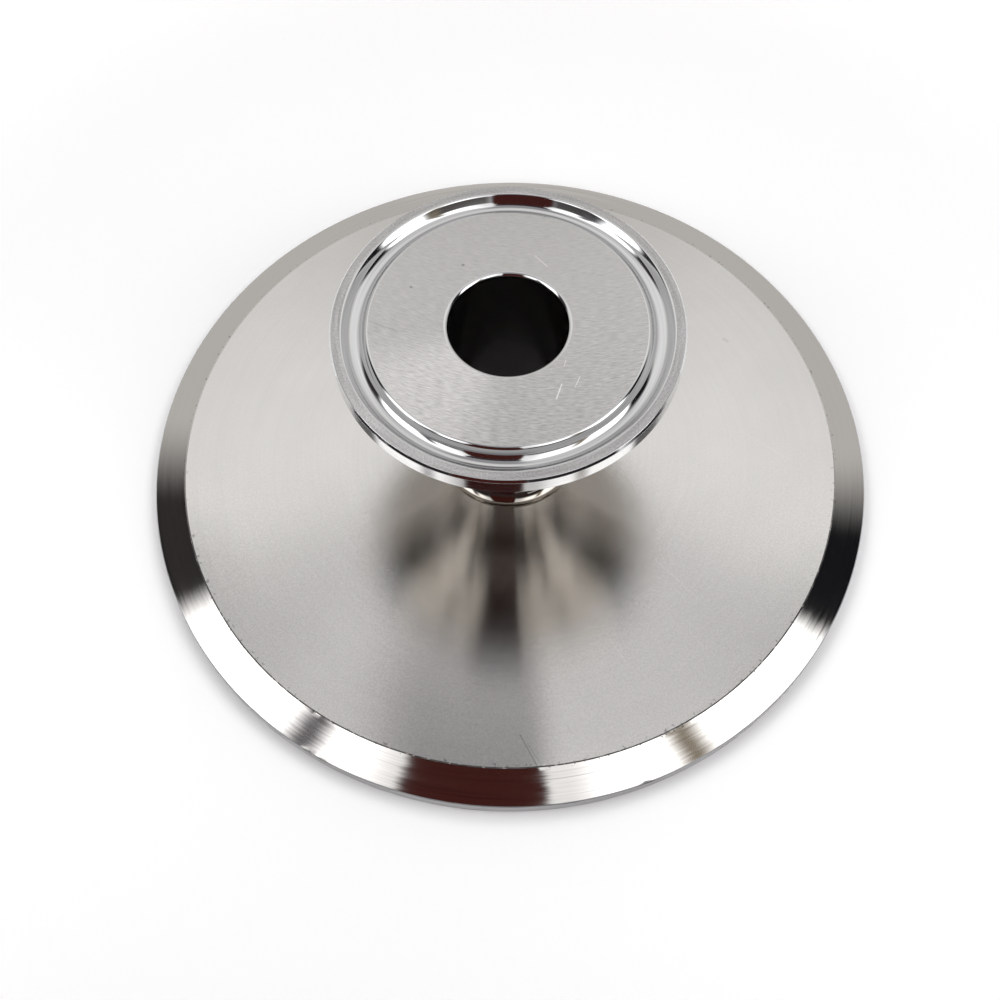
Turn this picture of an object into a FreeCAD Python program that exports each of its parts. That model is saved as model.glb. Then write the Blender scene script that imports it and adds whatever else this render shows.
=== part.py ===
import FreeCAD, Part
import math
import os
import Sketcher

# Sanitary clamp reducer, one turned and polished piece of stainless steel.
# Millimetres. +Z is up along the axis of the bore, and the origin is the centre
# of the flat face under the large clamp flange, which the part rests on.
#
# From the bottom up: a large clamp flange, which is a flat plate with a bevelled
# edge, a short neck on it, and a small clamp flange on the neck. A bore runs all
# the way through. Each flange has a square rim, a face with a round-bottomed
# groove for the bead of a gasket, and on its other side the slope that the two
# halves of a clamp pull on. Sharp edges are broken by small chamfers.

SIZES = {
    # large flange
    "large_flange_diameter": 119.0,
    "large_rim_height": 2.85,
    "large_bevel_width": 5.3,
    "large_groove_inset": 4.35,
    # small flange
    "small_flange_diameter": 50.5,
    "small_rim_height": 2.85,
    "small_groove_inset": 3.4,
    # both flanges
    "clamp_bevel_angle": 20.0,
    "groove_width": 3.3,
    "groove_bottom_radius": 1.2,
    "groove_flank_angle": 43.0,
    # neck and bore
    "overall_height": 40.0,
    "neck_diameter": 19.0,
    "neck_wall": 1.0,
    # blends and broken edges
    "hub_blend_radius": 8.0,
    "foot_fillet_radius": 2.0,
    "upper_mouth_chamfer": 0.5,
    "lower_mouth_chamfer": 0.4,
    "small_rim_chamfer": 0.25,
    "large_rim_chamfer": 0.2,
}

# Sizes worked out from the driving ones, as expressions in the sheet's names.
LARGE_RADIUS = "Sizes.large_flange_diameter / 2"
SMALL_RADIUS = "Sizes.small_flange_diameter / 2"
NECK_RADIUS = "Sizes.neck_diameter / 2"
BORE_RADIUS = "(Sizes.neck_diameter / 2 - Sizes.neck_wall)"
BEVEL_SLOPE = "tan(Sizes.clamp_bevel_angle * 1deg)"
PLATE_RADIUS = "(Sizes.large_flange_diameter / 2 - Sizes.large_bevel_width)"
PLATE_TOP = f"(Sizes.large_rim_height + Sizes.large_bevel_width * {BEVEL_SLOPE})"
SMALL_RIM_FOOT = "(Sizes.overall_height - Sizes.small_rim_height)"
HUB_FOOT = f"({SMALL_RIM_FOOT} - ({SMALL_RADIUS} - {NECK_RADIUS}) * {BEVEL_SLOPE})"
LARGE_GROOVE_RADIUS = "(Sizes.large_flange_diameter / 2 - Sizes.large_groove_inset)"
SMALL_GROOVE_RADIUS = "(Sizes.small_flange_diameter / 2 - Sizes.small_groove_inset)"
GROOVE_FLANK = "(Sizes.groove_flank_angle * 1deg)"
GROOVE_LIP = "Sizes.groove_width / 2"
GROOVE_ARC_SIDE = f"Sizes.groove_bottom_radius * cos({GROOVE_FLANK})"
GROOVE_ARC_DEPTH = f"({GROOVE_LIP} - {GROOVE_ARC_SIDE}) / tan({GROOVE_FLANK})"
GROOVE_CENTRE_DEPTH = f"({GROOVE_ARC_DEPTH} - Sizes.groove_bottom_radius * sin({GROOVE_FLANK}))"


def make_sheet(doc):
    """The driving dimensions, one named cell each."""
    sheet = doc.addObject("Spreadsheet::Sheet", "Sizes")
    for row, (name, value) in enumerate(SIZES.items(), start=1):
        sheet.set(f"A{row}", name)
        sheet.set(f"B{row}", str(value))
        sheet.setAlias(f"B{row}", name)
    doc.recompute()
    return sheet


def number(sheet, expression):
    """The value of an expression in the sheet's names, as a plain number."""
    return float(sheet.evalExpression(expression))


def attach_sketch(body, name, plane_role):
    """A new sketch on one of the body's own origin planes."""
    sketch = body.newObject("Sketcher::SketchObject", name)
    planes = [part for part in body.Origin.OriginFeatures if part.Role == plane_role]
    sketch.AttachmentSupport = (planes[0], [""])
    sketch.MapMode = "FlatFace"
    return sketch


def bind(sketch, constraint, name, expression):
    """Add a constraint, name it and bind its value to an expression."""
    index = sketch.addConstraint(constraint)
    sketch.renameConstraint(index, name)
    sketch.setExpression(f"Constraints.{name}", expression)


def place_point(sheet, sketch, geometry, point, name, across, up):
    """Fix a sketch point at expressions for its distances across and up."""
    level_axis, upright_axis, origin_point = -1, -2, 1
    if across == "0":
        sketch.addConstraint(Sketcher.Constraint("PointOnObject", geometry, point, upright_axis))
    else:
        value = number(sheet, across)
        width = Sketcher.Constraint("DistanceX", level_axis, origin_point, geometry, point, value)
        bind(sketch, width, f"{name}_across", across)
    place_height(sheet, sketch, geometry, point, name, up)


def place_height(sheet, sketch, geometry, point, name, up):
    """Fix a sketch point at an expression for its distance up."""
    level_axis, origin_point = -1, 1
    if up == "0":
        sketch.addConstraint(Sketcher.Constraint("PointOnObject", geometry, point, level_axis))
    else:
        value = number(sheet, up)
        height = Sketcher.Constraint("DistanceY", level_axis, origin_point, geometry, point, value)
        bind(sketch, height, f"{name}_up", up)


def turned_outline(sheet, body, name, corners):
    """Half section of a turned form: named corners joined by straight lines."""
    first, last = 1, 2
    sketch = attach_sketch(body, name, "XZ_Plane")
    places = [FreeCAD.Vector(number(sheet, across), number(sheet, up), 0) for _, across, up in corners]
    lines = []
    for begin, end in zip(places, places[1:] + places[:1]):
        lines.append(sketch.addGeometry(Part.LineSegment(begin, end), False))
    for line, following in zip(lines, lines[1:] + lines[:1]):
        sketch.addConstraint(Sketcher.Constraint("Coincident", line, last, following, first))
    for line, (corner, across, up) in zip(lines, corners):
        place_point(sheet, sketch, line, first, corner, across, up)
    return sketch


def revolve(body, name, sketch):
    """Turn an outline into a solid about the part's axis."""
    feature = body.newObject("PartDesign::Revolution", name)
    feature.Profile = sketch
    feature.ReferenceAxis = (sketch, ["V_Axis"])
    feature.Angle = 360
    return feature


def groove_ring(sheet, body, name, across, face, inward):
    """Cut a gasket's groove into a flange's face: two flanks, and a round bottom that joins them.

    inward is the sign of the way into the steel, along the axis.
    """
    first, last, middle = 1, 2, 3
    inner_lip = (f"{across} - {GROOVE_LIP}", face)
    inner_join = (f"{across} - {GROOVE_ARC_SIDE}", f"{face} {inward} {GROOVE_ARC_DEPTH}")
    outer_join = (f"{across} + {GROOVE_ARC_SIDE}", f"{face} {inward} {GROOVE_ARC_DEPTH}")
    outer_lip = (f"{across} + {GROOVE_LIP}", face)
    bottom = (across, f"{face} {inward} {GROOVE_CENTRE_DEPTH}")

    def spot(place):
        return FreeCAD.Vector(number(sheet, place[0]), number(sheet, place[1]), 0)

    sketch = attach_sketch(body, f"{name}_section", "XZ_Plane")
    inner = sketch.addGeometry(Part.LineSegment(spot(inner_lip), spot(inner_join)), False)
    outer = sketch.addGeometry(Part.LineSegment(spot(outer_join), spot(outer_lip)), False)
    across_face = sketch.addGeometry(Part.LineSegment(spot(outer_lip), spot(inner_lip)), False)
    ends = [spot(inner_join), spot(outer_join)]
    if inward == "+":
        ends.reverse()
    turns = [math.atan2(end.y - spot(bottom).y, end.x - spot(bottom).x) for end in ends]
    circle = Part.Circle(spot(bottom), FreeCAD.Vector(0, 0, 1), number(sheet, "Sizes.groove_bottom_radius"))
    arc = sketch.addGeometry(Part.ArcOfCircle(circle, *turns), False)
    inner_end, outer_end = (last, first) if inward == "+" else (first, last)
    sketch.addConstraint(Sketcher.Constraint("Coincident", inner, last, arc, inner_end))
    sketch.addConstraint(Sketcher.Constraint("Coincident", outer, first, arc, outer_end))
    sketch.addConstraint(Sketcher.Constraint("Coincident", outer, last, across_face, first))
    sketch.addConstraint(Sketcher.Constraint("Coincident", across_face, last, inner, first))
    place_point(sheet, sketch, inner, first, "inner_lip", *inner_lip)
    place_point(sheet, sketch, inner, last, "inner_join", *inner_join)
    place_point(sheet, sketch, outer, first, "outer_join", *outer_join)
    place_point(sheet, sketch, outer, last, "outer_lip", *outer_lip)
    place_height(sheet, sketch, arc, middle, "bottom_centre", bottom[1])
    feature = body.newObject("PartDesign::Groove", name)
    feature.Profile = sketch
    feature.ReferenceAxis = (sketch, ["V_Axis"])
    feature.Angle = 360
    return feature


def ring_edges(sheet, feature, across, up):
    """Names of the round edges of a feature at this radius and height."""
    near = 1e-4
    radius = number(sheet, across)
    height = number(sheet, up)
    names = []
    for index, edge in enumerate(feature.Shape.Edges, start=1):
        if not isinstance(edge.Curve, Part.Circle):
            continue
        same_radius = abs(edge.Curve.Radius - radius) < near
        same_height = abs(edge.Curve.Center.z - height) < near
        if same_radius and same_height:
            names.append(f"Edge{index}")
    return names


def dress_edges(doc, sheet, body, kind, name, places, size_name):
    """Round or chamfer the ring edges at these places by a size from the sheet."""
    doc.recompute()
    base = body.Tip
    edges = []
    for across, up in places:
        edges += ring_edges(sheet, base, across, up)
    feature = body.newObject(f"PartDesign::{kind}", name)
    feature.Base = (base, edges)
    feature.setExpression("Radius" if kind == "Fillet" else "Size", f"Sizes.{size_name}")
    return feature


def large_flange(sheet, body):
    """Flat plate with a square rim, bevelled on its upper side."""
    outline = turned_outline(sheet, body, "large_flange_outline", [
        ("face_centre", "0", "0"),
        ("face_edge", LARGE_RADIUS, "0"),
        ("rim_top", LARGE_RADIUS, "Sizes.large_rim_height"),
        ("crease", PLATE_RADIUS, PLATE_TOP),
        ("plate_centre", "0", PLATE_TOP),
    ])
    return revolve(body, "large_flange", outline)


def small_flange(sheet, body):
    """Neck, and on it the small flange, whose under side slopes in to the neck."""
    outline = turned_outline(sheet, body, "small_flange_outline", [
        ("foot_centre", "0", "0"),
        ("neck_foot", NECK_RADIUS, "0"),
        ("neck_top", NECK_RADIUS, HUB_FOOT),
        ("rim_foot", SMALL_RADIUS, SMALL_RIM_FOOT),
        ("face_edge", SMALL_RADIUS, "Sizes.overall_height"),
        ("face_centre", "0", "Sizes.overall_height"),
    ])
    return revolve(body, "neck_and_small_flange", outline)


def through_bore(sheet, body):
    """Round bore through the whole part, a neck wall inside the neck."""
    sketch = attach_sketch(body, "bore_section", "XY_Plane")
    radius = number(sheet, BORE_RADIUS)
    circle = sketch.addGeometry(Part.Circle(FreeCAD.Vector(), FreeCAD.Vector(0, 0, 1), radius), False)
    level_axis, origin_point, middle = -1, 1, 3
    sketch.addConstraint(Sketcher.Constraint("Coincident", circle, middle, level_axis, origin_point))
    bind(sketch, Sketcher.Constraint("Radius", circle, radius), "bore_radius", BORE_RADIUS)
    feature = body.newObject("PartDesign::Pocket", "through_bore")
    feature.Profile = sketch
    feature.Type = "ThroughAll"
    feature.Reversed = True
    return feature


def reducer_body(doc, sheet):
    """The whole reducer as one body."""
    body = doc.addObject("PartDesign::Body", "reducer_body")
    body.Label = "reducer_body"
    large_flange(sheet, body)
    small_flange(sheet, body)
    hub = [(NECK_RADIUS, HUB_FOOT)]
    dress_edges(doc, sheet, body, "Fillet", "hub_blend", hub, "hub_blend_radius")
    foot = [(NECK_RADIUS, PLATE_TOP)]
    dress_edges(doc, sheet, body, "Fillet", "foot_fillet", foot, "foot_fillet_radius")
    through_bore(sheet, body)
    groove_ring(sheet, body, "small_gasket_groove", SMALL_GROOVE_RADIUS, "Sizes.overall_height", "-")
    groove_ring(sheet, body, "large_gasket_groove", LARGE_GROOVE_RADIUS, "0", "+")
    upper_mouth = [(BORE_RADIUS, "Sizes.overall_height")]
    dress_edges(doc, sheet, body, "Chamfer", "upper_mouth", upper_mouth, "upper_mouth_chamfer")
    lower_mouth = [(BORE_RADIUS, "0")]
    dress_edges(doc, sheet, body, "Chamfer", "lower_mouth", lower_mouth, "lower_mouth_chamfer")
    small_rim = [(SMALL_RADIUS, "Sizes.overall_height"), (SMALL_RADIUS, SMALL_RIM_FOOT)]
    dress_edges(doc, sheet, body, "Chamfer", "small_rim_edges", small_rim, "small_rim_chamfer")
    large_rim = [(LARGE_RADIUS, "0"), (LARGE_RADIUS, "Sizes.large_rim_height")]
    dress_edges(doc, sheet, body, "Chamfer", "large_rim_edges", large_rim, "large_rim_chamfer")
    return body


def check_document(doc, bodies):
    """Stop if any object failed or any sub-part is empty or invalid."""
    doc.recompute()
    for item in doc.Objects:
        if "Invalid" in item.State or "Error" in item.State:
            raise RuntimeError(f"{item.Name} failed: {item.State}")
    for body in bodies:
        if body.Shape.isNull() or not body.Shape.isValid():
            raise RuntimeError(f"{body.Label} has no valid shape")


def export_parts(bodies):
    """Write each sub-part to a file of its own name."""
    os.makedirs("parts", exist_ok=True)
    for body in bodies:
        body.Shape.exportStep(f"parts/{body.Label}.step")
        box = body.Shape.optimalBoundingBox(True, False)
        size = f"{box.XLength:.2f} x {box.YLength:.2f} x {box.ZLength:.2f} mm"
        print(f"{body.Label}: {len(body.Shape.Solids)} solid, {size}, {body.Shape.Volume:.0f} mm3")


def main():
    doc = FreeCAD.newDocument("clamp_reducer")
    sheet = make_sheet(doc)
    bodies = [reducer_body(doc, sheet)]
    check_document(doc, bodies)
    export_parts(bodies)


main()
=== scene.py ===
import math

import bpy
import bmesh
from mathutils import Matrix, Vector

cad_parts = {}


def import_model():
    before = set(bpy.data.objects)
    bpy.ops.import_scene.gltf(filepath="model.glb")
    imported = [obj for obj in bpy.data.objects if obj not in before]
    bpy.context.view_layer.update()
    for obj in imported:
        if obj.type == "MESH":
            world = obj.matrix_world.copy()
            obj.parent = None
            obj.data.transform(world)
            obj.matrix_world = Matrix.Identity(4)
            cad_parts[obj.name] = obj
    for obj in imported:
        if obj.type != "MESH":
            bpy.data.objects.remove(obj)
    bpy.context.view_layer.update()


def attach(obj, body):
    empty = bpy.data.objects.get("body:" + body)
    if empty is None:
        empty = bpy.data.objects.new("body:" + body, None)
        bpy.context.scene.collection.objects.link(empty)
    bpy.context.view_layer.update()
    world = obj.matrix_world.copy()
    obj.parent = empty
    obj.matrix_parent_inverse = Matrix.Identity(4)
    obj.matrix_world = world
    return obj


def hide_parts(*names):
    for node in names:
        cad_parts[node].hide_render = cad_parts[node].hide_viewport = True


# Sanitary clamp reducer: one turned and polished piece of stainless steel.
# The CAD solid is replaced by one finely turned mesh of the same section, whose
# surfaces carry the finishes of the lathe and the polishing wheel.
# Sizes are in millimetres and angles in degrees unless a name or comment says otherwise.

MM = 0.001
SEGMENTS = 540

# the section, as in the CAD source
LARGE_RADIUS = 59.5
LARGE_RIM = 2.85
BEVEL_WIDTH = 5.3
SLOPE = math.tan(math.radians(20))
PLATE_RADIUS = LARGE_RADIUS - BEVEL_WIDTH
PLATE_TOP = LARGE_RIM + BEVEL_WIDTH * SLOPE
SMALL_RADIUS = 25.25
SMALL_RIM = 2.85
HEIGHT = 40.0
RIM_FOOT = HEIGHT - SMALL_RIM
NECK = 9.5
BORE = 8.5
HUB_FOOT = RIM_FOOT - (SMALL_RADIUS - NECK) * SLOPE
FOOT_FILLET = 2.0
HUB_BLEND = 8.0
LARGE_GROOVE = LARGE_RADIUS - 4.42
SMALL_GROOVE = SMALL_RADIUS - 3.43

# the grooves: depth, and for each side the radius of the bottom and the lean of the flank
GROOVE_DEPTH = 1.5
GROOVE_INNER = (1.48, 29.0)
GROOVE_OUTER = (1.30, 34.0)

# roundings of the grooves' lips and the bore's mouths
LARGE_INNER_LIP = 0.5
LARGE_OUTER_LIP = 0.3
SMALL_INNER_LIP = 0.55
SMALL_OUTER_LIP = 0.35
LOWER_MOUTH = 0.4
UPPER_MOUTH = 0.6

# broken edges of the rims: rounded below, and above a chamfer with rounded corners
LARGE_FOOT_EDGE = 0.2
LARGE_CHAMFER = 0.16
LARGE_CHAMFER_CORNER = 0.04
SMALL_FOOT_EDGE = 0.3
SMALL_CHAMFER_DOWN = 0.36
SMALL_CHAMFER_ACROSS = 0.28
SMALL_CHAMFER_CORNER = 0.06

# how far the line on the plate's edge reaches out and in from the crease
CREASE_OUT = 0.06
CREASE_IN = 0.16

# dents along the edges: each with its turn from the front and its depth
CREASE_DENTS = [(-47.4, 0.03), (-32.6, 0.06), (-24.0, 0.04), (30.9, 0.04), (26.3, 0.05), (16.5, 0.04),
                (43.9, 0.03), (5.4, 0.05)]
RIM_DENTS = [(-30.9, 0.12), (-28.3, 0.10), (19.5, 0.16), (8.0, 0.06), (-41.0, 0.08), (36.0, 0.08)]
SMALL_RIM_DENTS = [(-55.0, 0.07), (-45.0, 0.10), (-35.0, 0.07), (-12.0, 0.05), (14.0, 0.05)]

# scratches: both ends across and along, half width, and how much each adds to the brightness
FACE_SCRATCHES = [
    ((4.0, 11.9), (5.7, 10.0), 0.10, 0.35),
    ((7.3, -10.1), (6.5, -12.5), 0.12, 0.55),
    ((9.8, -9.0), (9.1, -10.6), 0.09, 0.40),
    ((8.0, -6.2), (7.7, -7.2), 0.10, 0.30),
    ((-6.45, 10.36), (-6.4, 10.36), 0.30, -0.35),
    ((-13.9, 6.5), (-13.8, 6.5), 0.25, -0.35),
    ((-19.6, 0.6), (-15.6, -1.1), 0.09, -0.22),
]
PLATE_SCRATCHES = [
    ((1.3, -49.2), (3.9, -54.1), 0.16, -0.24),
    ((2.5, -50.7), (4.6, -54.0), 0.12, -0.14),
    ((15.4, -34.4), (17.5, -37.7), 0.14, 0.07),
    ((23.2, -21.0), (29.8, -27.9), 0.12, 0.06),
    ((25.4, -25.0), (27.4, -27.6), 0.12, 0.05),
    ((39.0, 2.8), (46.8, -3.0), 0.12, 0.035),
    ((38.0, 21.3), (38.5, 20.9), 0.45, -0.10),
    ((8.4, -47.8), (8.9, -49.1), 0.10, -0.12),
    ((-20.5, -37.5), (-26.0, -40.0), 0.12, 0.05),
]

# colour of the steel under each finish; the large rim's, the neck's and the bore's are darkened with painted
# shade
PLATE_STEEL = (0.60, 0.589, 0.576)
BEVEL_STEEL = (0.60, 0.585, 0.57)
CREASE_STEEL = (1.0, 0.965, 0.94)
# the large rim's wall and its rounded edges, darkened: painted shade for the floor's contact shadow that the
# wall mirrors
RIM_STEEL_PAINTED_SHADE = (0.33, 0.33, 0.335)
# the neck and its fillets under the small flange, darkened: painted shade
NECK_STEEL_PAINTED_SHADE = (0.405, 0.378, 0.343)
POLISHED_STEEL = (0.597, 0.598, 0.603)
FACE_STEEL = (0.60, 0.590, 0.583)
LAND_STEEL = (0.60, 0.59, 0.59)
# the bore's wall, darkened: painted shade of the deep hole
BORE_STEEL_PAINTED_SHADE = (0.27, 0.26, 0.255)

# the viewpoint: a pinhole camera, its place in metres and its angles in radians
LENS = 41.466
SENSOR = 36.0
CAMERA_AT = (0.0, -0.09511, 0.173592)
PITCH = 1.104
YAW = -0.018
ROLL = -0.024

# the white tent round the object, in metres, and the light that each part of its cloth gives
TENT_RADIUS = 0.26
LOW_CLOTH = (0.70, 0.685, 0.66)
HIGH_CLOTH = (1.14, 1.13, 1.12)
ROOF_CLOTH = (0.86, 0.85, 0.85)
BACK_CLOTH = (0.62, 0.605, 0.58)
PANEL_LEFT = (0.042, 0.038, 0.038)
PANEL_RIGHT = (0.012, 0.012, 0.014)
WINDOW = (3.0, 3.0, 3.0)
WINDOW_TOP = (1.9, 1.9, 1.9)
WINDOW_BESIDE_GAP = (1.3, 1.3, 1.3)
SILL_LEFT = (0.11, 0.10, 0.10)
SILL_RIGHT = (0.13, 0.12, 0.115)
HOOD = (0.42, 0.41, 0.42)
GAP_HIGH = (0.05, 0.042, 0.046)
GAP_LOW = (0.070, 0.019, 0.016)
BAR_LEFT = (0.19, 0.18, 0.19)
BAR_RIGHT = (0.33, 0.28, 0.21)
KERB = (0.035, 0.033, 0.035)
HEM = (0.92, 0.90, 0.88)
# painted shade: the colour of a low wall that stands in for the shaded floor in front, as the steel mirrors
# it
PAINTED_FLOOR_SHADE = (0.06, 0.04, 0.04, 1.0)

# the floor's paper, in metres, and the light that it gives to the eye and to reflections
FLOOR_HALF = 4.0
PAPER = (0.86, 0.86, 0.87, 1.0)
WHITE = (1.0, 1.0, 1.0, 1.0)
NEAR_GLOW = 0.20
FAR_GLOW = 0.35

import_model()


class Tree:
    """Short ways to add nodes and links to a node tree."""

    def __init__(self, owner):
        owner.use_nodes = True
        self.nodes = owner.node_tree.nodes
        self.links = owner.node_tree.links
        self.nodes.clear()

    def put(self, socket, value):
        """Link another node's output to a socket, or set the socket to a plain value."""
        if isinstance(value, bpy.types.NodeSocket):
            self.links.new(value, socket)
        else:
            socket.default_value = value

    def add(self, kind, settings=None, **inputs):
        """A new node, with its settings and with its inputs by name, _ for a space."""
        node = self.nodes.new(kind)
        for name, value in (settings or {}).items():
            setattr(node, name, value)
        for name, value in inputs.items():
            self.put(node.inputs[name.replace("_", " ")], value)
        return node

    def math(self, operation, *values):
        node = self.add("ShaderNodeMath", {"operation": operation})
        for socket, value in zip(node.inputs, values):
            self.put(socket, value)
        return node.outputs[0]

    def plus(self, first, second):
        return self.math("ADD", first, second)

    def minus(self, first, second):
        return self.math("SUBTRACT", first, second)

    def times(self, first, second):
        return self.math("MULTIPLY", first, second)

    def vector_math(self, operation, *values):
        """A vector operation; a dot product or a distance gives a plain number."""
        node = self.add("ShaderNodeVectorMath", {"operation": operation})
        for socket, value in zip(node.inputs, values):
            self.put(socket, value)
        return node.outputs["Value" if operation in ("DOT_PRODUCT", "DISTANCE") else "Vector"]

    def scale(self, vector, factor):
        node = self.add("ShaderNodeVectorMath", {"operation": "SCALE"}, Scale=factor)
        self.put(node.inputs[0], vector)
        return node.outputs["Vector"]

    def step(self, value, low, high):
        """0 at low and before it, 1 at high and past it, smooth between."""
        node = self.add("ShaderNodeMapRange", {"interpolation_type": "SMOOTHSTEP"},
                        Value=value, From_Min=low, From_Max=high)
        return node.outputs[0]

    def window(self, value, low, high, soft):
        """1 between low and high, 0 outside, with soft edges."""
        rise = self.step(value, low - soft, low + soft)
        fall = self.step(value, high - soft, high + soft)
        return self.minus(rise, fall)

    def mix(self, factor, first, second):
        """The first colour where the factor is 0 and the second where it is 1."""
        node = self.add("ShaderNodeMix", {"data_type": "RGBA"})
        self.put(node.inputs[0], factor)
        for socket, value in zip(node.inputs[6:8], (first, second)):
            self.put(socket, value if isinstance(value, bpy.types.NodeSocket) else (*value, 1.0))
        return node.outputs[2]

    def noise(self, vector, scale, detail=2.0):
        return self.add("ShaderNodeTexNoise", Scale=scale, Detail=detail, Vector=vector).outputs["Fac"]

    def place(self):
        """The point's place in the object's own frame, in millimetres: x, y, z."""
        return self.scale(self.add("ShaderNodeTexCoord").outputs["Object"], 1 / MM)

    def split(self, vector):
        return self.add("ShaderNodeSeparateXYZ", Vector=vector).outputs

    def join(self, x, y, z):
        return self.add("ShaderNodeCombineXYZ", X=x, Y=y, Z=z).outputs[0]

    def radius(self, vector):
        x, y, _ = self.split(vector)
        return self.math("SQRT", self.plus(self.times(x, x), self.times(y, y)))

    def surface(self, shader):
        """Make a shader the look of the material."""
        self.put(self.add("ShaderNodeOutputMaterial").inputs["Surface"], shader.outputs[0])


class TentTree(Tree):
    """The nodes of the tent's cloth, with the direction in which each point lies.

    height is the angle over the table. turn is the compass angle, 0 towards the viewpoint and
    positive to the right, and aside is the same without its sign. seam is the turn along the
    tent's seams, which lean out as they rise. x and y are the direction's own parts.
    """

    def __init__(self, owner):
        super().__init__(owner)
        position = self.add("ShaderNodeNewGeometry").outputs["Position"]
        self.x, self.y, up = self.split(self.vector_math("NORMALIZE", position))
        self.height = self.math("DEGREES", self.math("ARCSINE", up))
        self.turn = self.math("DEGREES", self.math("ARCTAN2", self.x, self.times(self.y, -1.0)))
        self.aside = self.math("ABSOLUTE", self.turn)
        lean = self.times(self.over(level=32.0, rate=0.005), self.step(self.aside, low=30.0, high=100.0))
        self.seam = self.math("DIVIDE", self.turn, self.plus(lean, 1.0))

    def over(self, level, rate):
        """How far the height is over a level, times a rate."""
        return self.times(self.math("MAXIMUM", self.minus(self.height, level), 0.0), rate)

    def below(self, level, soft):
        """1 under a level of height, 0 over it; the level may differ from place to place."""
        return self.minus(1.0, self.step(self.minus(self.height, level), -soft, soft))


# Studio

def cloth(t):
    """Plain cloth: brightest half way up, and darker low down behind the object."""
    colour = t.mix(t.step(t.height, low=24.0, high=56.0), LOW_CLOTH, HIGH_CLOTH)
    colour = t.mix(t.step(t.height, low=58.0, high=68.0), colour, ROOF_CLOTH)
    behind = t.times(t.step(t.aside, low=150.0, high=178.0), t.below(level=54.0, soft=8.0))
    strength = 0.6
    return t.mix(t.times(behind, strength), colour, BACK_CLOTH)


def side_panels(t, colour):
    """Dark cloth at both sides, which reaches further back as it rises, and further on the left."""
    left_extra = -7.0
    extra = t.times(t.step(t.turn, low=-60.0, high=-80.0), left_extra)
    reach = t.minus(t.plus(t.aside, extra), t.over(level=35.0, rate=0.3))
    panel = t.minus(t.step(t.aside, low=75.0, high=85.0), t.step(reach, low=99.0, high=114.0))
    shade = t.mix(t.step(t.turn, low=-10.0, high=10.0), PANEL_LEFT, PANEL_RIGHT)
    return t.mix(t.times(panel, t.below(level=60.0, soft=15.0)), colour, shade)


def windows(t, colour, gap_left, gap_right):
    """A bright window on each side of the gap, lower towards the sides and dimmer high up and
    beside the gap."""
    left = t.minus(t.step(t.seam, low=-90.5, high=-81.0), gap_left)
    right = t.minus(gap_right, t.step(t.seam, low=76.0, high=83.0))
    top_in_front = 80.0
    fall_from = 40.0
    fall_rate = 0.37
    past = t.math("MAXIMUM", t.minus(t.aside, fall_from), 0.0)
    top = t.minus(top_in_front, t.times(past, fall_rate))
    lit = t.times(t.plus(left, right), t.below(level=top, soft=5.0))
    glare = t.mix(t.step(t.height, low=48.0, high=62.0), WINDOW, WINDOW_TOP)
    beside = t.minus(t.step(t.seam, low=-47.0, high=-29.0), t.step(t.seam, low=14.0, high=32.0))
    return t.mix(lit, colour, t.mix(beside, glare, WINDOW_BESIDE_GAP))


def sills(t, colour):
    """A dark sill under each window, next to the gap."""
    low_down = t.below(level=37.0, soft=8.0)
    left = t.times(t.window(t.seam, low=-58.0, high=-26.0, soft=6.0), low_down)
    right = t.times(t.window(t.seam, low=8.0, high=50.0, soft=6.0), low_down)
    return t.mix(right, t.mix(left, colour, SILL_LEFT), SILL_RIGHT)


def hood(t, colour):
    """A grey hood overhead, a little left of the middle and towards the viewpoint."""
    across = t.window(t.x, low=-0.20, high=0.05, soft=0.025)
    along = t.window(t.y, low=-0.45, high=0.22, soft=0.06)
    overhead = t.step(t.height, low=62.0, high=68.0)
    return t.mix(t.times(t.times(across, along), overhead), colour, HOOD)


def dark_gap(t, colour, gap):
    """The gap between the windows: dark red, with a dark grey top part."""
    colour = t.mix(t.times(gap, t.below(level=75.0, soft=4.0)), colour, GAP_HIGH)
    return t.mix(t.times(gap, t.below(level=62.0, soft=4.0)), colour, GAP_LOW)


def window_bars(t, colour):
    """An upright bar in each window."""
    left = t.times(t.window(t.seam, low=-55.5, high=-47.5, soft=3.5), t.below(level=55.0, soft=5.0))
    right = t.times(t.window(t.seam, low=42.0, high=49.5, soft=3.5), t.below(level=56.0, soft=6.0))
    return t.mix(right, t.mix(left, colour, BAR_LEFT), BAR_RIGHT)


def kerb(t, colour, gap):
    """A dark border along the tent's foot, high and narrowing upward in front, low at the sides."""
    left_by = 4.0
    wide = t.plus(t.math("ABSOLUTE", t.plus(t.seam, left_by)), t.over(level=21.0, rate=1.2))
    in_front = t.times(t.minus(1.0, t.step(wide, low=56.0, high=64.0)), t.below(level=26.0, soft=3.0))
    at_sides = t.times(t.minus(1.0, t.step(t.aside, low=93.0, high=101.0)), t.below(level=15.0, soft=3.0))
    border = t.times(t.math("MAXIMUM", in_front, at_sides), t.minus(1.0, gap))
    return t.mix(border, colour, KERB)


def glow(t, material, colour):
    """Make a material give off a colour, which lights only what bounced rays bring it to."""
    t.surface(t.add("ShaderNodeEmission", Color=colour, Strength=1.0))
    material.cycles.emission_sampling = "NONE"


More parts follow.
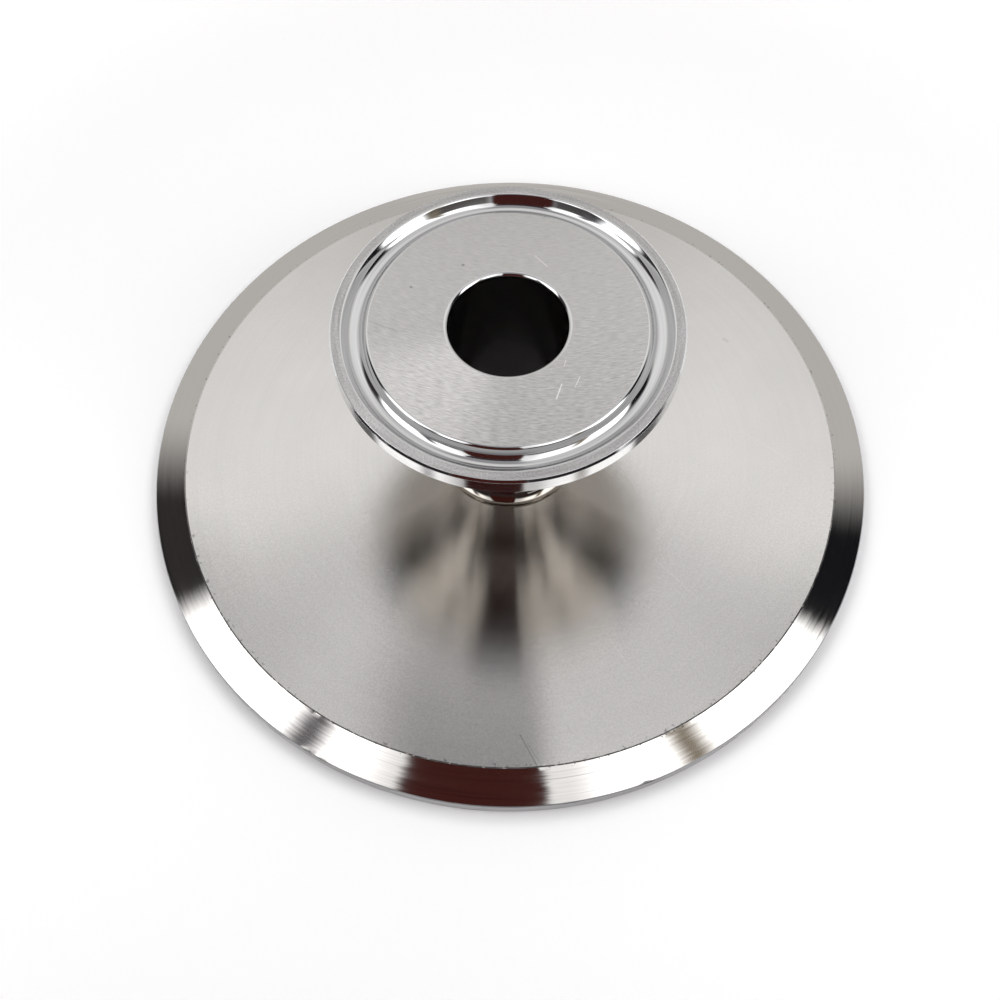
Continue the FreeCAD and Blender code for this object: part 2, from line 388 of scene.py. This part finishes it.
def tent_material():
    """What the steel mirrors: cloth with two windows and a dark gap between them."""
    material = bpy.data.materials.new("studio_tent")
    t = TentTree(material)
    gap_left = t.step(t.plus(t.seam, t.over(level=60.0, rate=1.2)), low=-30.0, high=-26.0)
    gap_right = t.step(t.minus(t.seam, t.over(level=65.0, rate=0.5)), low=7.2, high=10.2)
    gap = t.minus(gap_left, gap_right)
    colour = side_panels(t, cloth(t))
    colour = windows(t, colour, gap_left, gap_right)
    colour = hood(t, sills(t, colour))
    colour = window_bars(t, dark_gap(t, colour, gap))
    colour = kerb(t, colour, gap)
    glow(t, material, t.mix(t.below(level=6.5, soft=1.5), colour, HEM))
    return material


def studio_piece(name, mesh, material):
    """A piece of the studio with one material, linked into the scene."""
    mesh.materials.append(material)
    piece = bpy.data.objects.new(name, mesh)
    bpy.context.scene.collection.objects.link(piece)
    return piece


def tent():
    """A half sphere of cloth over the object, seen only in reflections and as light."""
    just_under = -1e-5
    mesh = bpy.data.meshes.new("studio_tent")
    form = bmesh.new()
    bmesh.ops.create_uvsphere(form, u_segments=96, v_segments=48, radius=TENT_RADIUS)
    lower = [vertex for vertex in form.verts if vertex.co.z < just_under]
    bmesh.ops.delete(form, geom=lower, context="VERTS")
    form.to_mesh(mesh)
    form.free()
    piece = studio_piece("studio_tent", mesh, tent_material())
    piece.visible_camera = False
    piece.visible_shadow = False


def painted_floor_shade_card():
    """Painted shade: a low dark wall in front that only reflections see, standing in for the shaded floor
    there.
    """
    wall_radius = 88.0
    wall_height = 25.0
    begin, end = -42.0, 26.0
    steps = 16
    rows = []
    for index in range(steps + 1):
        angle = math.radians(begin + (end - begin) * index / steps)
        across = wall_radius * math.sin(angle) * MM
        along = -wall_radius * math.cos(angle) * MM
        rows.extend([(across, along, 0.0), (across, along, wall_height * MM)])
    faces = [(2 * index, 2 * index + 2, 2 * index + 3, 2 * index + 1) for index in range(steps)]
    mesh = bpy.data.meshes.new("studio_painted_floor_shade")
    mesh.from_pydata(rows, [], faces)
    material = bpy.data.materials.new("studio_painted_floor_shade")
    glow(Tree(material), material, PAINTED_FLOOR_SHADE)
    piece = studio_piece("studio_painted_floor_shade", mesh, material)
    piece.visible_camera = False
    piece.visible_diffuse = False
    piece.visible_shadow = False


def paper_material():
    """Matt white paper, which looks brighter to the eye and in reflections away from the object."""
    material = bpy.data.materials.new("studio_floor")
    t = Tree(material)
    rays = t.add("ShaderNodeLightPath").outputs
    mirrored = t.math("MAXIMUM", rays["Is Glossy Ray"], rays["Is Transmission Ray"])
    seen = t.math("MAXIMUM", rays["Is Camera Ray"], mirrored)
    out = t.radius(t.place())
    near = t.times(t.step(out, low=LARGE_RADIUS, high=LARGE_RADIUS + 3.0), NEAR_GLOW)
    far = t.times(t.step(out, low=100.0, high=230.0), FAR_GLOW)
    light = t.add("ShaderNodeEmission", Color=WHITE, Strength=t.times(t.plus(near, far), seen))
    paper = t.add("ShaderNodeBsdfDiffuse", Color=PAPER)
    both = t.add("ShaderNodeAddShader")
    t.put(both.inputs[0], paper.outputs[0])
    t.put(both.inputs[1], light.outputs[0])
    t.surface(both)
    return material


def floor():
    """Plain white floor that keeps the object's soft shadow, a hair under the object."""
    drop = 0.02
    low, high = -FLOOR_HALF, FLOOR_HALF
    corners = [(low, low, 0.0), (high, low, 0.0), (high, high, 0.0), (low, high, 0.0)]
    mesh = bpy.data.meshes.new("studio_floor")
    mesh.from_pydata(corners, [], [(0, 1, 2, 3)])
    piece = studio_piece("studio_floor", mesh, paper_material())
    piece.location.z = -drop * MM


def world():
    """White behind everything for the camera, and plain light outside the tent."""
    sky = bpy.data.worlds.new("studio_world")
    bpy.context.scene.world = sky
    t = Tree(sky)
    background = t.add("ShaderNodeBackground", Color=WHITE, Strength=1.0)
    t.put(t.add("ShaderNodeOutputWorld").inputs["Surface"], background.outputs[0])


def camera():
    """The photograph's viewpoint."""
    forward = Vector((math.sin(YAW) * math.cos(PITCH), math.cos(YAW) * math.cos(PITCH), -math.sin(PITCH)))
    level = Vector((math.cos(YAW), -math.sin(YAW), 0.0))
    upward = level.cross(forward)
    right = math.cos(ROLL) * level + math.sin(ROLL) * upward
    top = math.cos(ROLL) * upward - math.sin(ROLL) * level
    data = bpy.data.cameras.new("photo_camera")
    data.sensor_width = SENSOR
    data.lens = LENS
    data.clip_start = 0.01
    data.clip_end = 20.0
    eye = bpy.data.objects.new("photo_camera", data)
    turned = Matrix((right, top, -forward)).transposed().to_4x4()
    eye.matrix_world = Matrix.Translation(CAMERA_AT) @ turned
    bpy.context.scene.collection.objects.link(eye)
    bpy.context.scene.camera = eye


# Finishes

def varied(t, factor, noise, gain):
    """A factor raised and lowered by a noise, which is a half on average."""
    return t.times(factor, t.plus(1.0, t.times(t.minus(noise, 0.5), gain)))


def rings(t, spot, spacing, drift, shift=0.0):
    """Tool lines: a value that changes with the radius and hardly round the turn."""
    x, y, z = t.split(spot)
    across = t.math("DIVIDE", t.plus(t.radius(spot), z), spacing)
    return t.noise(t.join(t.plus(across, shift), t.times(x, drift), t.times(y, drift)), 1.0, detail=3.0)


def tipped(t, spot, spacing, spread=0.0, lines=0.0, sway=0.0):
    """The turned surface's normal. spread tips it in and out finer than the eye sees; lines and sway
    tip it along the radius and round the turn from one visible tool line to the next."""
    x, y, _ = t.split(spot)
    out_x, out_y, _ = t.split(t.vector_math("NORMALIZE", t.join(x, y, 0.0)))
    along = 0.0
    if spread:
        grain = t.add("ShaderNodeTexWhiteNoise", {"noise_dimensions": "3D"}, Vector=spot)
        red, green, blue = t.split(grain.outputs["Color"])
        along = t.times(t.minus(t.plus(red, t.plus(green, blue)), 1.5), 2.0 * spread)
    if lines:
        mark = rings(t, spot, spacing, drift=0.04)
        along = t.plus(along, t.times(t.minus(mark, 0.5), lines))
    around = 0.0
    if sway:
        mark = rings(t, spot, spacing, drift=0.09, shift=41.0)
        around = t.times(t.minus(mark, 0.5), sway)
    across_x = t.minus(t.times(out_x, along), t.times(out_y, around))
    across_y = t.plus(t.times(out_y, along), t.times(out_x, around))
    normal = t.add("ShaderNodeNewGeometry").outputs["Normal"]
    return t.vector_math("NORMALIZE", t.vector_math("ADD", normal, t.join(across_x, across_y, 0.0)))


def steel(name, tint, roughness, stretch=0.0, bump=None, normal=None):
    """Bare stainless steel. stretch is how far its highlights reach across the tool lines."""
    material = bpy.data.materials.new(name)
    t = Tree(material)
    shader = t.add("ShaderNodeBsdfPrincipled", Metallic=1.0)
    t.surface(shader)
    spot = t.place()
    t.put(shader.inputs["Base Color"], tint(t, spot) if callable(tint) else (*tint, 1.0))
    t.put(shader.inputs["Roughness"], roughness(t, spot) if callable(roughness) else roughness)
    if stretch:
        tangent = t.add("ShaderNodeTangent", {"direction_type": "RADIAL", "axis": "Z"})
        t.put(shader.inputs["Tangent"], tangent.outputs[0])
        quarter_turn = 0.25
        shader.inputs["Anisotropic"].default_value = stretch
        shader.inputs["Anisotropic Rotation"].default_value = quarter_turn
    if bump:
        height, depth = bump(t, spot)
        relief = t.add("ShaderNodeBump", Strength=1.0, Distance=depth * MM, Height=height)
        t.put(shader.inputs["Normal"], relief.outputs[0])
    if normal:
        t.put(shader.inputs["Normal"], tipped(t, spot, **normal))
    return material


def scratch(t, spot, begin, end, half_width, up):
    """1 on a straight scratch between two places at one height, fading towards its edges."""
    least_square = 0.01
    full_part = 0.3
    run = Vector((end[0] - begin[0], end[1] - begin[1], 0.0))
    away = t.vector_math("SUBTRACT", spot, (*begin, up))
    part = t.vector_math("DOT_PRODUCT", away, run / max(run.length_squared, least_square))
    held = t.add("ShaderNodeClamp", Value=part).outputs[0]
    gap = t.vector_math("DISTANCE", away, t.scale(run, held))
    return t.minus(1.0, t.step(gap, full_part * half_width, half_width))


def scratched(t, spot, factor, scratches, up):
    """A brightness factor with scratches drawn into it."""
    for begin, end, half_width, gain in scratches:
        factor = t.plus(factor, t.times(scratch(t, spot, begin, end, half_width, up), gain))
    return factor


def towards_front(t, spot, low, high):
    """0 behind a line across the object and 1 in front of another, each so far towards the front."""
    return t.step(t.times(t.split(spot)[1], -1.0), low, high)


def front_half_weight(t, spot):
    """1 on the front half, 0 on the back half, with a soft change between."""
    return towards_front(t, spot, low=-10.0, high=24.0)


def grind_marks(t, spot, fine):
    """Grinding marks that cross the face almost level, sloping down a little to the right."""
    bow = -0.009
    slope = 0.12
    warp = 0.4
    length = 0.14
    x, y, _ = t.split(spot)
    line = t.plus(t.plus(y, t.times(t.times(x, x), bow)), t.times(x, slope))
    line = t.plus(line, t.times(t.noise(spot, 0.9), warp))
    return t.noise(t.join(t.times(x, length * fine), t.times(line, fine), 0.0), 1.0)


def painted_face_sheen(t, spot, level, painted_fan):
    """Brightness of the ground face with a painted sheen: a bright fan towards the front left, where the
    marks catch the light.
    """
    x, y, _ = t.split(spot)
    turn = t.math("DEGREES", t.math("ARCTAN2", x, t.times(y, -1.0)))
    return t.plus(level, t.times(t.window(turn, low=-72.0, high=-16.0, soft=16.0), painted_fan))


def face_tint(t, spot):
    """The small flange's face inside the groove: a painted sheen towards the front left, grinding marks,
    strongest in front, and scratches.
    """
    # painted sheen: a bright fan towards the front left
    factor = painted_face_sheen(t, spot, level=0.83, painted_fan=0.24)
    gain = t.plus(0.40, t.times(towards_front(t, spot, low=-12.0, high=16.0), 0.60))
    factor = varied(t, factor, grind_marks(t, spot, fine=5.6), gain)
    factor = varied(t, factor, grind_marks(t, spot, fine=2.2), gain=0.12)
    return t.scale(FACE_STEEL, scratched(t, spot, factor, FACE_SCRATCHES, HEIGHT))


def face_roughness(t, spot):
    return varied(t, 0.30, grind_marks(t, spot, fine=5.0), gain=0.5)


def face_bump(t, spot):
    return grind_marks(t, spot, fine=3.0), 0.010


def land_tint(t, spot):
    """The small flange's face outside the groove: a painted sheen towards the front left, mottled, with faint
    rings.
    """
    # painted sheen: a bright fan towards the front left
    factor = painted_face_sheen(t, spot, level=0.72, painted_fan=0.14)
    factor = varied(t, factor, t.noise(spot, 4.0, detail=3.0), gain=1.0)
    factor = varied(t, factor, rings(t, spot, 0.4, drift=0.15), gain=0.7)
    return t.scale(LAND_STEEL, factor)


def land_bump(t, spot):
    return t.noise(spot, 3.5, detail=3.0), 0.012


def plate_tint(t, spot):
    """The satin plate: fine grain, faint clouds, dark specks along its edge, and scratches."""
    front_weight = front_half_weight(t, spot)
    factor = varied(t, 1.0, rings(t, spot, 0.6, drift=0.03), gain=0.06)
    factor = varied(t, factor, t.noise(spot, 3.6), gain=t.plus(0.03, t.times(front_weight, 0.27)))
    factor = varied(t, factor, t.noise(spot, 0.09, detail=3.0), gain=0.10)
    edge = t.step(t.radius(spot), low=PLATE_RADIUS - 0.9, high=PLATE_RADIUS - 0.4)
    specks = t.times(edge, t.step(t.noise(spot, 1.4, detail=4.0), low=0.60, high=0.66))
    speck_depth = 0.45
    factor = t.minus(factor, t.times(t.times(specks, front_weight), speck_depth))
    return t.scale(PLATE_STEEL, scratched(t, spot, factor, PLATE_SCRATCHES, PLATE_TOP))


def plate_roughness(t, spot):
    return t.plus(t.times(rings(t, spot, 0.5, drift=0.05), 0.03), 0.078)


def bevel_tint(t, spot):
    """The turned bevel: deep and fine tool lines, and dark specks below the crease."""
    front_weight = front_half_weight(t, spot)
    line_depth = 0.34
    speck_depth = 0.8
    deep = t.step(rings(t, spot, 0.30, drift=0.02, shift=17.0), low=0.58, high=0.72)
    factor = t.minus(1.0, t.times(t.times(deep, front_weight), line_depth))
    gain = t.plus(0.06, t.times(front_weight, 0.20))
    factor = varied(t, factor, rings(t, spot, 0.16, drift=0.05), gain)
    edge = t.minus(1.0, t.step(t.radius(spot), low=PLATE_RADIUS + 0.15, high=PLATE_RADIUS + 0.5))
    specks = t.times(edge, t.step(t.noise(spot, 1.9, detail=3.0), low=0.60, high=0.68))
    return t.scale(BEVEL_STEEL, t.times(factor, t.minus(1.0, t.times(specks, speck_depth))))


def bevel_roughness(t, spot):
    return t.plus(t.times(rings(t, spot, 0.35, drift=0.06), 0.09), 0.03)


def crease_tint(t, spot):
    """The line along the crease: dark and blotchy along the front half, with painted glints where it is
    nicked, and the steel's own level along the back half.
    """
    front_weight = front_half_weight(t, spot)
    glint_light = 3.0
    front_level = 0.085
    back_level = 0.56
    # painted glints: bright specks that stand in for the nicks catching the light
    painted_glints = t.times(t.step(t.noise(spot, 1.3), low=0.60, high=0.66), glint_light)
    front_part = t.plus(varied(t, 1.0, t.noise(spot, 0.5, detail=3.0), gain=3.0), painted_glints)
    front_part = t.times(t.times(front_part, front_weight), front_level)
    back_part = t.times(t.minus(1.0, front_weight), back_level)
    return t.scale(CREASE_STEEL, t.plus(front_part, back_part))


# The neck's polished steel, darkened with painted shade, with faint rings.
def neck_tint_painted_shade(t, spot):
    return t.scale(NECK_STEEL_PAINTED_SHADE, varied(t, 1.0, rings(t, spot, 0.4, drift=0.05), gain=0.3))


def polished_tint(t, spot):
    return t.scale(POLISHED_STEEL, varied(t, 1.0, rings(t, spot, 0.22, drift=0.05), gain=0.30))


def polished_roughness(t, spot):
    return t.plus(t.times(t.noise(spot, 2.0, detail=3.0), 0.06), 0.03)


def wall_bump(t, spot):
    return rings(t, spot, 0.4, drift=0.03), 0.004


def materials():
    """Every finish by its short name."""
    fine = {"spacing": 0.5, "spread": 0.050, "lines": 0.008}
    turned = {"spacing": 0.22, "lines": 0.05, "sway": 0.018}
    return {
        "polished": steel("polished_steel", polished_tint, polished_roughness),
        # the neck's colour carries painted shade
        "neck": steel("polished_neck_painted_shade", neck_tint_painted_shade, polished_roughness),
        "plate": steel("satin_plate", plate_tint, plate_roughness, stretch=0.9, normal=fine),
        "bevel": steel("turned_bevel", bevel_tint, bevel_roughness, stretch=0.5, normal=turned),
        # the large rim's colour carries painted shade
        "rim": steel("turned_rim_painted_shade", RIM_STEEL_PAINTED_SHADE, 0.12, stretch=0.4, bump=wall_bump),
        "crease": steel("crease_line", crease_tint, 0.35),
        "face": steel("ground_face", face_tint, face_roughness, bump=face_bump),
        "land": steel("ground_land", land_tint, 0.32, bump=land_bump),
        # the bore's colour carries painted shade
        "bore": steel("bore_wall_painted_shade", BORE_STEEL_PAINTED_SHADE, 0.20, stretch=0.3, bump=wall_bump),
        "underside": steel("turned_underside", polished_tint, 0.16, stretch=0.5, normal=fine),
    }


# Section

def arc(centre, radius, begin, end, steps):
    """Points on a circle's arc, from one angle to the other."""
    points = []
    for index in range(steps + 1):
        angle = math.radians(begin + (end - begin) * index / steps)
        points.append((centre[0] + radius * math.cos(angle), centre[1] + radius * math.sin(angle)))
    return points


def rounded(before, corner, after, radius, steps):
    """The corner replaced by an arc that touches both of its lines, with a ring close to each end."""
    into = (Vector(corner) - Vector(before)).normalized()
    out = (Vector(after) - Vector(corner)).normalized()
    turn = -into.angle_signed(out)
    reach = radius * math.tan(abs(turn) / 2)
    start = Vector(corner) - into * reach
    side = math.copysign(1.0, turn)
    centre = start + Vector((-into.y, into.x)) * radius * side
    first = math.degrees(math.atan2(start.y - centre.y, start.x - centre.x))
    points = arc(centre, radius, first, first + math.degrees(turn), steps)
    guard = min(0.05, 0.25 * radius)
    return [tuple(start - into * guard), *points, tuple(Vector(points[-1]) + out * guard)]


def groove_wall(radius, flank, steps):
    """Half a groove's section from its middle: places across and depths, with the lip last."""
    bottom = arc((0.0, GROOVE_DEPTH - radius), radius, 90.0, flank, steps)
    across, deep = bottom[-1]
    return bottom + [(across + deep * math.tan(math.radians(flank)), 0.0)]


def groove(radius, face, sign, steps):
    """A groove's section from its inner lip to its outer one: sign is 1 where the steel is above the face."""
    inner = [(radius - across, face + deep * sign) for across, deep in groove_wall(*GROOVE_INNER, steps)]
    outer = [(radius + across, face + deep * sign) for across, deep in groove_wall(*GROOVE_OUTER, steps)]
    return inner[::-1] + outer[1:]


def in_from_rim(back):
    """The place on the bevel this far in from the large rim."""
    return LARGE_RADIUS - back, LARGE_RIM + back * SLOPE


def out_from_crease(out):
    """The place on the bevel this far out from the crease."""
    return PLATE_RADIUS + out, PLATE_TOP - out * SLOPE


def plain(places, finish):
    """Points of the section that have no rounding."""
    return [(across, up, 0.0, 0, finish) for across, up in places]


def section():
    """The closed half section, from the bore's lower mouth out along the underside and back over the top.

    Each row is a corner: its place across and up, the radius and steps of its rounding, and the finish
    after it. The plain points beside a corner keep its bend in the shading close to it.
    """
    large_inner, *large_bed, large_outer = groove(LARGE_GROOVE, 0.0, 1.0, 6)
    small_inner, *small_bed, small_outer = groove(SMALL_GROOVE, HEIGHT, -1.0, 10)
    return [
        (BORE, 0.0, LOWER_MOUTH, 4, "underside"),
        (*large_inner, LARGE_INNER_LIP, 4, "polished"),
        *plain(large_bed, "polished"),
        (*large_outer, LARGE_OUTER_LIP, 4, "underside"),
        (LARGE_RADIUS, 0.0, LARGE_FOOT_EDGE, 5, "rim"),
        *plain([(LARGE_RADIUS, LARGE_RIM - down) for down in (0.9, 0.6)], "rim"),
        (LARGE_RADIUS, LARGE_RIM - LARGE_CHAMFER, LARGE_CHAMFER_CORNER, 2, "rim"),
        (*in_from_rim(LARGE_CHAMFER), LARGE_CHAMFER_CORNER, 2, "bevel"),
        *plain([in_from_rim(back) for back in (0.5, 0.8, 1.0)], "bevel"),
        *plain([out_from_crease(out) for out in (0.9, 0.65, 0.3)], "bevel"),
        *plain([out_from_crease(CREASE_OUT)], "crease"),
        *plain([(PLATE_RADIUS - back, PLATE_TOP) for back in (CREASE_IN, 0.35, 0.65, 0.9)], "plate"),
        (NECK, PLATE_TOP, FOOT_FILLET, 16, "neck"),
        (NECK, HUB_FOOT, HUB_BLEND, 20, "neck"),
        (SMALL_RADIUS, RIM_FOOT, SMALL_FOOT_EDGE, 6, "polished"),
        *plain([(SMALL_RADIUS, HEIGHT - down) for down in (1.1, 0.8)], "polished"),
        (SMALL_RADIUS, HEIGHT - SMALL_CHAMFER_DOWN, SMALL_CHAMFER_CORNER, 3, "polished"),
        (SMALL_RADIUS - SMALL_CHAMFER_ACROSS, HEIGHT, SMALL_CHAMFER_CORNER, 3, "land"),
        *plain([(SMALL_RADIUS - back, HEIGHT) for back in (0.6, 0.8)], "land"),
        (*small_outer, SMALL_OUTER_LIP, 5, "polished"),
        *plain(reversed(small_bed), "polished"),
        (*small_inner, SMALL_INNER_LIP, 9, "face"),
        (BORE, HEIGHT, UPPER_MOUTH, 8, "bore"),
    ]


def outline():
    """The section's points with every corner rounded, and the finish of the strip after each."""
    corners = section()
    points = []
    for index, (across, up, radius, steps, finish) in enumerate(corners):
        if radius == 0.0:
            points.append(((across, up), finish))
            continue
        *before, _, _, earlier = corners[index - 1]
        after = corners[(index + 1) % len(corners)][:2]
        first, *bend, last, beyond = rounded(before, (across, up), after, radius, steps)
        curved = finish if finish in ("neck", "rim") else "polished"
        points.append((first, earlier))
        points.extend((point, curved) for point in bend)
        points.extend([(last, finish), (beyond, finish)])
    return points


def turned_vertices(points):
    """The outline at every step round the axis, one step after the other, in metres."""
    vertices = []
    for step in range(SEGMENTS):
        angle = 2 * math.pi * step / SEGMENTS
        sine, cosine = math.sin(angle), math.cos(angle)
        vertices.extend((across * sine * MM, -across * cosine * MM, up * MM) for (across, up), _ in points)
    return vertices


def turned_faces(points, order):
    """The faces between each step and the next, and the place of each face's finish in the order."""
    count = len(points)
    faces = []
    kinds = []
    for step in range(SEGMENTS):
        here = step * count
        there = (step + 1) % SEGMENTS * count
        for index, (_, finish) in enumerate(points):
            following = (index + 1) % count
            faces.append((here + index, there + index, there + following, here + following))
            kinds.append(order.index(finish))
    return faces, kinds


def dents():
    """Small dents along the edges: each with its place in the section, turn, depth and half width."""
    return [
        *(((PLATE_RADIUS, PLATE_TOP), turn, deep, 0.4) for turn, deep in CREASE_DENTS),
        *(((LARGE_RADIUS, LARGE_RIM), turn, deep, 0.6) for turn, deep in RIM_DENTS),
        *(((SMALL_RADIUS, HEIGHT), turn, deep, 1.0) for turn, deep in SMALL_RIM_DENTS),
    ]


def press_dents(vertices, points):
    """Push the vertices near each dent in and down."""
    far_round = 2.5
    far_across = 0.5
    half_across = 0.2
    inward = 0.5
    downward = 0.7
    for place, turn, deep, half_round in dents():
        for step in range(SEGMENTS):
            off = (360.0 * step / SEGMENTS - turn + 180.0) % 360.0 - 180.0
            if abs(off) > far_round * half_round:
                continue
            for index, (point, _) in enumerate(points, start=step * len(points)):
                gap = math.dist(point, place)
                if gap > far_across:
                    continue
                sink = deep * math.exp(-(off / half_round) ** 2 - (gap / half_across) ** 2) * MM
                x, y, z = vertices[index]
                shrink = 1.0 - inward * sink / math.hypot(x, y)
                vertices[index] = (x * shrink, y * shrink, z - downward * sink)


def sharpen_crease(mesh, points):
    """Mark both edges of the crease line sharp, so that it shades apart from the bevel and the plate."""
    count = len(points)
    crease = [finish for _, finish in points].index("crease")
    for edge in mesh.edges:
        first, second = (vertex % count for vertex in edge.vertices)
        if first == second and first in (crease, crease + 1):
            edge.use_edge_sharp = True


def reducer():
    """The section turned about the axis into one closed mesh."""
    points = outline()
    finishes = materials()
    vertices = turned_vertices(points)
    faces, kinds = turned_faces(points, list(finishes))
    press_dents(vertices, points)
    mesh = bpy.data.meshes.new("reducer")
    mesh.from_pydata(vertices, [], faces)
    for material in finishes.values():
        mesh.materials.append(material)
    mesh.polygons.foreach_set("material_index", kinds)
    mesh.polygons.foreach_set("use_smooth", [True] * len(faces))
    sharpen_crease(mesh, points)
    mesh.update()
    piece = bpy.data.objects.new("reducer", mesh)
    bpy.context.scene.collection.objects.link(piece)
    return piece


def main():
    scene = bpy.context.scene
    scene.view_settings.view_transform = "Standard"
    piece = reducer()
    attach(piece, "root")
    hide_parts("reducer_body")
    tent()
    # painted shade of the floor in front, seen only in reflections
    painted_floor_shade_card()
    floor()
    world()
    camera()


main()
